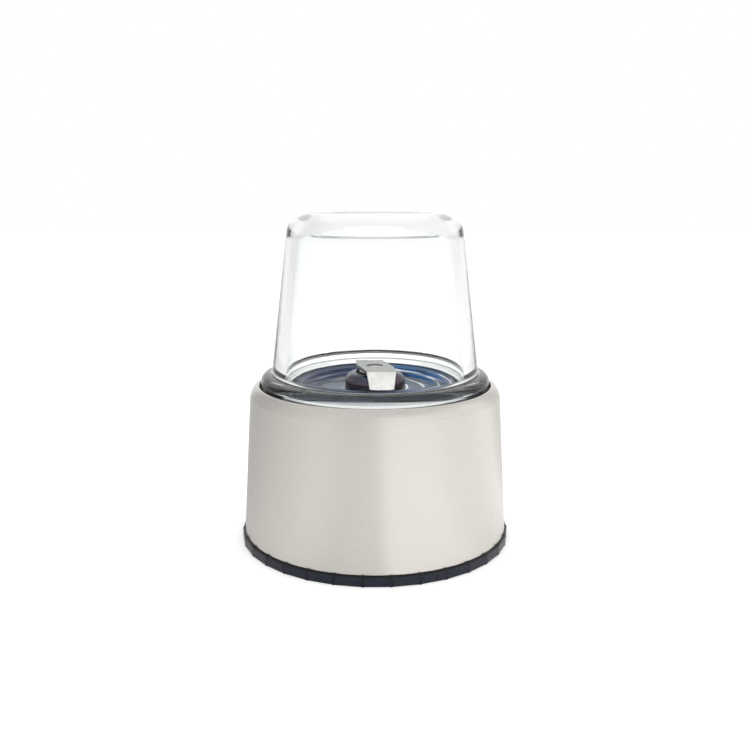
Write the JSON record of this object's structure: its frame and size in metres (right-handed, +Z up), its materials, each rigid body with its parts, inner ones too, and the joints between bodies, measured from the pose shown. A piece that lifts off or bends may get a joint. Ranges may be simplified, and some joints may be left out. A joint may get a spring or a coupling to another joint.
{
  "type": "dry mill attachment",
  "caption": "Blender dry mill: an upturned glass cup on a tapered brushed steel base with a faceted black foot, a polished dish and a bent spinning blade.",
  "frame": {"origin": "middle of the flat underside of the base ring", "axes": "+Z up along the spindle towards the closed end of the cup; -Y is the side the picture shows"},
  "size_m": [0.1116, 0.1116, 0.1346],
  "materials": {
    "steel_sleeve": "fine circumferential brushing",
    "base_ring": "moulded, satin facets",
    "inner_body": "moulded, fine matt grain",
    "ring_screws": "zinc plated",
    "lock_ring": "moulded, satin",
    "lock_ring_screws": "zinc plated",
    "glass_cup": "clear pressed glass",
    "cup_gasket": "soft silicone",
    "grinding_dish": "polished stainless pressing",
    "dish_washer": "soft",
    "bearing_housing": "polished stainless turning",
    "upper_bush": "sintered bronze",
    "lower_bush": "sintered bronze",
    "shaft_seal": "nitrile",
    "lock_washer": "zinc plated",
    "housing_nut": "zinc plated",
    "spindle": "ground",
    "blade_spacer": "turned",
    "grinding_blade": "brushed stainless strip",
    "thrust_washer": "nylon",
    "circlip": "spring steel",
    "drive_coupling": "moulded, tough nylon",
    "coupling_insert": "drawn brass hexagon"
  },
  "bodies": {
    "base": {"steel_sleeve": "steel_sleeve", "base_ring": "base_ring", "inner_body": "inner_body", "ring_screws": "ring_screws", "lock_ring": "lock_ring", "lock_ring_screws": "lock_ring_screws", "grinding_dish": "grinding_dish", "dish_washer": "dish_washer", "bearing_housing": "bearing_housing", "upper_bush": "upper_bush", "lower_bush": "lower_bush", "shaft_seal": "shaft_seal", "lock_washer": "lock_washer", "housing_nut": "housing_nut"},
    "rotor": {"spindle": "spindle", "blade_spacer": "blade_spacer", "grinding_blade": "grinding_blade", "thrust_washer": "thrust_washer", "circlip": "circlip", "drive_coupling": "drive_coupling", "coupling_insert": "coupling_insert"},
    "seal": {"cup_gasket": "cup_gasket"},
    "cup": {"glass_cup": "glass_cup"}
  },
  "joints": [
    {"name": "blade_spin", "type": "hinge", "parent": "base", "child": "rotor", "pos_m": [0, 0, 0.0348], "axis": [0, 0, 1], "continuous": true},
    {"name": "cup_turn", "type": "hinge", "parent": "base", "child": "seal", "pos_m": [0, 0, 0.056], "axis": [0, 0, 1], "range_deg": [-60, 0]},
    {"name": "cup_lift", "type": "slide", "parent": "seal", "child": "cup", "axis": [0, 0, 1], "range_m": [0, 0.08]}
  ]
}
